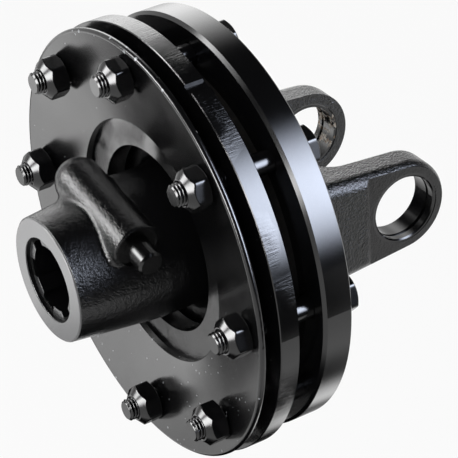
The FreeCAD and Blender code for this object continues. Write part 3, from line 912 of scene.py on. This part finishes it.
@dataclass(frozen=True)
class Canopy:
    """The dark side of the studio: a black cloth dome behind the camera and over the object."""

    name: str = "black_canopy"
    direction: Vector3 = (0.43, 0.21, 0.88)
    first_angle: float = 0.5
    half_angle: float = 86.0
    fade_angle: float = 14.0
    radius: float = 2.2
    rings: int = 24
    around: int = 64

    def build(self) -> bpy.types.Object:
        """Makes the dome.

        Formula: rings at growing angles from the direction, on a sphere about the origin, which fade to
        clear over the last degrees.

        Returns:
            The staged dome.
        """
        out = np.array(self.direction) / np.linalg.norm(self.direction)
        side = np.cross(out, [0.0, 1.0, 0.0])
        side /= np.linalg.norm(side)
        over = np.cross(out, side)
        polar = np.radians(np.linspace(self.first_angle, self.half_angle, self.rings))[:, None]
        turn = (np.arange(self.around) * 2 * math.pi / self.around)[None, :]
        points = self.radius * (np.cos(polar)[..., None] * out + np.sin(polar)[..., None]
                                * (np.cos(turn)[..., None] * side + np.sin(turn)[..., None] * over))
        faces = grid_faces(self.rings, self.around, closed=True)
        piece = mesh_piece(self.name, points.reshape(-1, 3), faces, sharp_degrees=60)
        rise = np.clip((self.half_angle - np.degrees(polar)) / self.fade_angle, 0.0, 1.0)
        cover = np.broadcast_to(faded(rise), (self.rings, self.around))
        return stage_sheet(piece, cover, 0.0, WHITE)


def stage_sheet(piece: bpy.types.Object, cover: np.ndarray, glow: float, tint: str) -> bpy.types.Object:
    """Makes a mesh a studio sheet that reflections see and the camera and the fill light don't.

    Args:
        piece: the sheet's mesh object.
        cover: how solid it is at each point, from 0 to 1.
        glow: the strength of its light, or 0 for black cloth.
        tint: the light's colour.

    Returns:
        The same object.
    """
    layer = piece.data.attributes.new("cover", "FLOAT", "POINT")
    layer.data.foreach_set("value", np.ascontiguousarray(cover, dtype=np.float32).ravel())
    material = bpy.data.materials.new(piece.name)
    tree = Tree(material)
    share = tree.add("ShaderNodeAttribute", {"attribute_name": "cover"})
    clear = tree.add("ShaderNodeBsdfTransparent")
    light = tree.add("ShaderNodeEmission", Color=linear(tint), Strength=glow)
    mix = tree.add("ShaderNodeMixShader", i0=share.outputs["Fac"], i1=clear.outputs[0], i2=light.outputs[0])
    tree.add("ShaderNodeOutputMaterial", Surface=mix.outputs[0])
    piece.data.materials.append(material)
    piece.visible_camera = False
    piece.visible_diffuse = False
    piece.visible_shadow = False
    return piece


@dataclass(frozen=True)
class Lamp:
    """A soft square lamp that lights the matt surfaces and doesn't show in the gloss."""

    name: str
    place: Vector3
    side: float
    watts: float
    aim: Vector3 = (0.0, 0.04, 0.0)

    def build(self) -> None:
        """Adds the lamp, turned to the point that it faces."""
        data = bpy.data.lights.new(self.name, "AREA")
        data.shape = "RECTANGLE"
        data.size = self.side
        data.size_y = self.side
        data.energy = self.watts
        lamp = bpy.data.objects.new(self.name, data)
        lamp.visible_glossy = False
        bpy.context.scene.collection.objects.link(lamp)
        back = np.array(self.place) - np.array(self.aim)
        back /= np.linalg.norm(back)
        side = np.cross([0.0, 0.0, 1.0], back)
        side /= np.linalg.norm(side)
        matrix = np.eye(4)
        matrix[:3, :] = np.stack([side, np.cross(back, side), back, self.place], axis=1)
        lamp.matrix_world = Matrix(matrix.tolist())


# Soft boxes and flags, placed where the photograph's bright and dark bands lead by reflection.
CARDS = (
    Card("side_soft_box", (0.71, 0.55, 0.44), 1.2, (-0.53, 0.0, 0.85), 0.76, 0.42, 0.95, 25.0, "e0e9fc"),
    Card("front_left_soft_box", (-0.53, -0.70, 0.48), 1.3, (0.80, -0.60, 0.0), 0.45, 0.36, 0.6, 16.0),
    Card("front_right_soft_box", (0.16, -0.94, 0.30), 1.3, (1.0, 0.10, -0.35), 0.60, 0.30, 0.6, 20.0),
    Card("back_soft_box", (-0.82, 0.48, 0.34), 1.3, (0.5, 0.86, 0.0), 0.52, 0.9, 0.95, 3.8),
    Card("low_left_soft_box", (-0.78, -0.38, -0.50), 0.62, (0.5, -0.86, 0.0), 0.42, 0.36, 0.7, 2.5),
    Card("low_back_soft_box", (0.13, 0.57, -0.81), 0.33, (0.0, 1.0, 0.0), 0.075, 0.08, 0.9, 2.3),
    Card("left_black_flag", (-0.75, 0.08, -0.65), 0.52, (0.0, 1.0, 0.0), 0.25, 0.34, 0.4),
    Card("low_black_flag", (0.76, 0.20, -0.46), 0.72, (0.0, 1.0, 0.0), 0.38, 0.57, 0.5),
    # The black sheet under the object is painted shadow: in reflections it stands in for the object's shadow
    # on the table.
    Card("under_painted_shadow_flag", (0.05, 0.12, -0.99), 0.34, (0.0, 1.0, 0.0), 0.26, 0.26, 0.4),
)
LAMPS = (
    Lamp("top_softbox", (-0.2, -0.3, 1.3), 1.2, 9.0),
    Lamp("side_softbox", (1.2, -0.9, 0.7), 0.9, 6.0),
)


@dataclass(frozen=True)
class Studio:
    """Pale floor, white surroundings, soft lamps, reflected cards and the camera."""

    floor_height: float = -0.36
    floor_half: float = 6.0
    floor_colour: str = "e6e6e6"
    floor_share: float = 0.9
    fill_level: float = 0.55
    lens_mm: float = 195.53
    sensor_mm: float = 36.0
    clip_start: float = 0.01
    camera_place: Vector3 = (0.79824, -0.37826, 0.57641)
    azimuth: float = 59.699
    elevation: float = 32.353
    roll: float = -3.791

    def camera(self) -> None:
        """Sets the camera at the photograph's angle, from its place and its three turns."""
        az, el, roll = (math.radians(a) for a in (self.azimuth, self.elevation, self.roll))
        back = np.array([math.sin(az) * math.cos(el), -math.cos(az) * math.cos(el), math.sin(el)])
        right = np.array([math.cos(az), math.sin(az), 0.0])
        up = np.cross(back, right)
        turned_right = math.cos(roll) * right + math.sin(roll) * up
        turned_up = -math.sin(roll) * right + math.cos(roll) * up
        matrix = np.eye(4)
        matrix[:3, :] = np.stack([turned_right, turned_up, back, self.camera_place], axis=1)
        data = bpy.data.cameras.new("camera")
        data.lens = self.lens_mm
        data.sensor_width = self.sensor_mm
        data.clip_start = self.clip_start
        eye = bpy.data.objects.new("camera", data)
        bpy.context.scene.collection.objects.link(eye)
        eye.matrix_world = Matrix(matrix.tolist())
        bpy.context.scene.camera = eye

    def seen_share(self, tree: Tree) -> Socket:
        """Tells the rays that see a surface from those that only carry its light.

        Args:
            tree: the world or material being built.

        Returns:
            1 for camera, transmission and glossy rays, and 0 for others.
        """
        rays = tree.add("ShaderNodeLightPath")
        seen = tree.add("ShaderNodeMath", {"operation": "MAXIMUM"}, i0=rays.outputs["Is Camera Ray"],
                        i1=rays.outputs["Is Transmission Ray"])
        either = tree.add("ShaderNodeMath", {"operation": "MAXIMUM"}, i0=seen.outputs[0],
                          i1=rays.outputs["Is Glossy Ray"])
        return either.outputs[0]

    def surroundings(self) -> None:
        """Sets the world: white to the camera and to reflections, a softer level for fill light."""
        world = bpy.data.worlds.new("studio")
        bpy.context.scene.world = world
        tree = Tree(world)
        level = tree.add("ShaderNodeMapRange", Value=self.seen_share(tree), To_Min=self.fill_level,
                         To_Max=1.0)
        glow = tree.add("ShaderNodeBackground", Strength=level.outputs["Result"])
        tree.add("ShaderNodeOutputWorld", Surface=glow.outputs[0])

    def floor(self) -> None:
        """Adds the plain pale paper floor, which shows white and keeps a faint shadow."""
        half, height = self.floor_half, self.floor_height
        points = np.array([[-half, -half, height], [half, -half, height], [half, half, height],
                           [-half, half, height]])
        piece = mesh_piece("floor", points, np.array([[0, 1, 2, 3]]), sharp_degrees=30)
        material = bpy.data.materials.new("floor_paper")
        tree = Tree(material)
        glow = tree.add("ShaderNodeEmission", Color=linear(WHITE), Strength=1.0)
        paper = tree.add("ShaderNodeBsdfDiffuse", Color=linear(self.floor_colour))
        share = tree.add("ShaderNodeMath", {"operation": "MULTIPLY"}, i0=self.seen_share(tree),
                         i1=self.floor_share)
        mix = tree.add("ShaderNodeMixShader", i0=share.outputs[0], i1=paper.outputs[0], i2=glow.outputs[0])
        tree.add("ShaderNodeOutputMaterial", Surface=mix.outputs[0])
        piece.data.materials.append(material)

    def build(self) -> None:
        """Makes camera, floor, surroundings, cards and lamps."""
        self.camera()
        self.floor()
        self.surroundings()
        Canopy().build()
        for card in CARDS:
            card.build()
        for lamp in LAMPS:
            lamp.build()
        LOG.info("studio ready")


def finishes() -> dict[str, bpy.types.Material]:
    """Makes the finish of each solid that keeps its own form.

    Returns:
        The material of each solid by the solid's name.
    """
    # Painted iron casting: sharp glints broken up by an orange-peel skin, a greyer turned nose face and
    # teeth ends as painted highlight, and painted shade in the slot mouths.
    hub = BlackPaint("hub_cast_iron_painted", turned_face_highlight_colour="626264", dust=0.0, grain_mm=3.2,
                     grain_height_mm=0.32, grit_height_mm=0.2, wear_and_painted_shade=PaintedSlotShade(),
                     region=Region.HUB_COLLAR).build()
    # Painted steel forging: a rough glittering skin on neck and ears, and a smooth turned flange.
    yoke = BlackPaint("yoke_forging_painted", grain_mm=3.4, grain_height_mm=0.4, grit_height_mm=0.36,
                      wear_and_painted_shade=ScrapedBore(), region=Region.YOKE_EARS).build()
    # Painted rolled sheet: a flat dark mirror with soft edges, white dust below and chips at the top edge.
    spring_plate = BlackPaint("spring_plate_painted", roughness=0.2, dust=0.75, settled=0.17,
                              edge_chips=0.3).build()
    # Painted turned ring: a bright band on the rim, torn by patches of short tool marks.
    pressure_plate = BlackPaint("pressure_plate_painted", roughness=0.15, streak_mm=1.0).build()
    # Blacked steel pin: darker than the paint, with one thin highlight along it.
    pin = BlackPaint("locking_pin_blacked", colour="060606", roughness=0.24, dust=0.1).build()
    # Bare spring steel: a grey shine inside the boss.
    steel = TurnedMetal("spring_steel_bare", "8d8f92").build()
    # Turned bronze: a warm yellow-brown shine behind the flange.
    bronze = TurnedMetal("bronze_turned", "b08d57").build()
    lining = FrictionLining().build()
    return {
        "hub": hub, "yoke": yoke, "spring_plate": spring_plate, "pressure_plate": pressure_plate,
        "locking_pin": pin, "pin_bush": pin, "pin_spring": steel, "centring_bush": bronze,
        "friction_disc_front": lining, "friction_disc_rear": lining,
    }


def dress_nodes(nodes: dict[str, bpy.types.Object], materials: dict[str, bpy.types.Material]) -> None:
    """Gives each remaining solid its finish.

    Args:
        nodes: the part's solids by name.
        materials: the material of each solid by name.
    """
    for name, material in materials.items():
        mesh = nodes[name].data
        mesh.materials.clear()
        mesh.materials.append(material)
        LOG.info("%s: %s", name, material.name)


def main() -> None:
    """Builds the looks around the fixed solids."""
    logging.basicConfig(level=logging.INFO, format="%(name)s %(message)s")
    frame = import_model()
    bpy.context.scene.view_settings.view_transform = "Standard"
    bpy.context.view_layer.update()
    # Paint on bolts and nuts: a thick gloss film with a finer ripple, bright on cones and thread crests.
    bolt_paint = BlackPaint("fasteners_painted", roughness=0.18, ripple_mm=3.0, dust=0.2).build()
    ClampFasteners().build(bolt_paint)
    dress_nodes(frame["nodes"], finishes())
    Studio().build()


if __name__ == "__main__":
    main()
